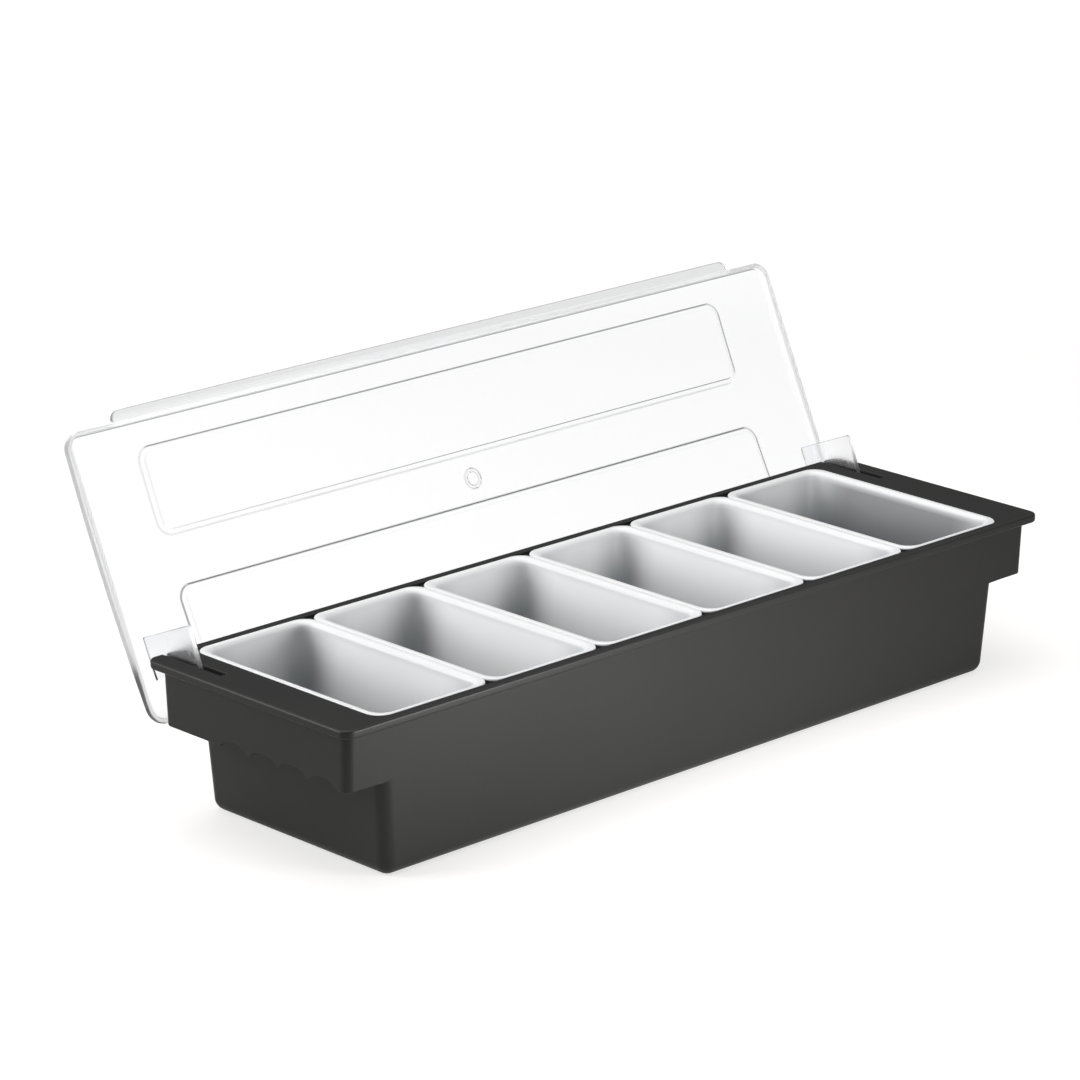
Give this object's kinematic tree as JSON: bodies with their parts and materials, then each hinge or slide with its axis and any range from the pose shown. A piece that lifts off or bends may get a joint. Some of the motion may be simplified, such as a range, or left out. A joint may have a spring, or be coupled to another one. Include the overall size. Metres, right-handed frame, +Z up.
{
  "type": "bar garnish tray",
  "caption": "Long bar caddy with lift-out tapered inserts side by side in a rimmed tray and a clear arched lid that opens behind it and closes over them.",
  "frame": {"origin": "middle of the tray's underside, on the surface that it stands on", "axes": "+X along the tray to its right-hand end, +Y to the rear, where the open lid stands, +Z up"},
  "size_m": [0.5, 0.2108, 0.1923],
  "materials": {
    "tray_black": "satin moulded polypropylene",
    "insert_translucent": "translucent moulded polypropylene",
    "lid_clear": "clear polished moulded acrylic",
    "pin_clear": "clear moulded acrylic"
  },
  "bodies": {
    "tray": {"tray": "tray_black"},
    "hinge_pins": {"hinge_pin_left": "pin_clear", "hinge_pin_right": "pin_clear"},
    "lid": {"lid": "lid_clear"},
    "insert_1": {"insert_1": "insert_translucent"},
    "insert_2": {"insert_2": "insert_translucent"},
    "insert_3": {"insert_3": "insert_translucent"},
    "insert_4": {"insert_4": "insert_translucent"},
    "insert_5": {"insert_5": "insert_translucent"},
    "insert_6": {"insert_6": "insert_translucent"}
  },
  "joints": [
    {"name": "pin_guide", "type": "slide", "parent": "tray", "child": "hinge_pins", "axis": [0, 0.4964, -0.8681], "range_m": [0, 0.02331]},
    {"name": "lid_hinge", "type": "hinge", "parent": "hinge_pins", "child": "lid", "pos_m": [0, 0.04834, 0.07672], "axis": [1, 0, 0], "range_deg": [0, 115.2]},
    {"name": "insert_1_lift", "type": "slide", "parent": "tray", "child": "insert_1", "axis": [0, 0, -1], "range_m": [-0.09, 0]},
    {"name": "insert_2_lift", "type": "slide", "parent": "tray", "child": "insert_2", "axis": [0, 0, -1], "range_m": [-0.09, 0]},
    {"name": "insert_3_lift", "type": "slide", "parent": "tray", "child": "insert_3", "axis": [0, 0, -1], "range_m": [-0.09, 0]},
    {"name": "insert_4_lift", "type": "slide", "parent": "tray", "child": "insert_4", "axis": [0, 0, -1], "range_m": [-0.09, 0]},
    {"name": "insert_5_lift", "type": "slide", "parent": "tray", "child": "insert_5", "axis": [0, 0, -1], "range_m": [-0.09, 0]},
    {"name": "insert_6_lift", "type": "slide", "parent": "tray", "child": "insert_6", "axis": [0, 0, -1], "range_m": [-0.09, 0]}
  ],
  "couplings": [
    {"joint": "pin_guide", "follows": "lid_hinge", "m_per_rad": 0.011584}
  ]
}
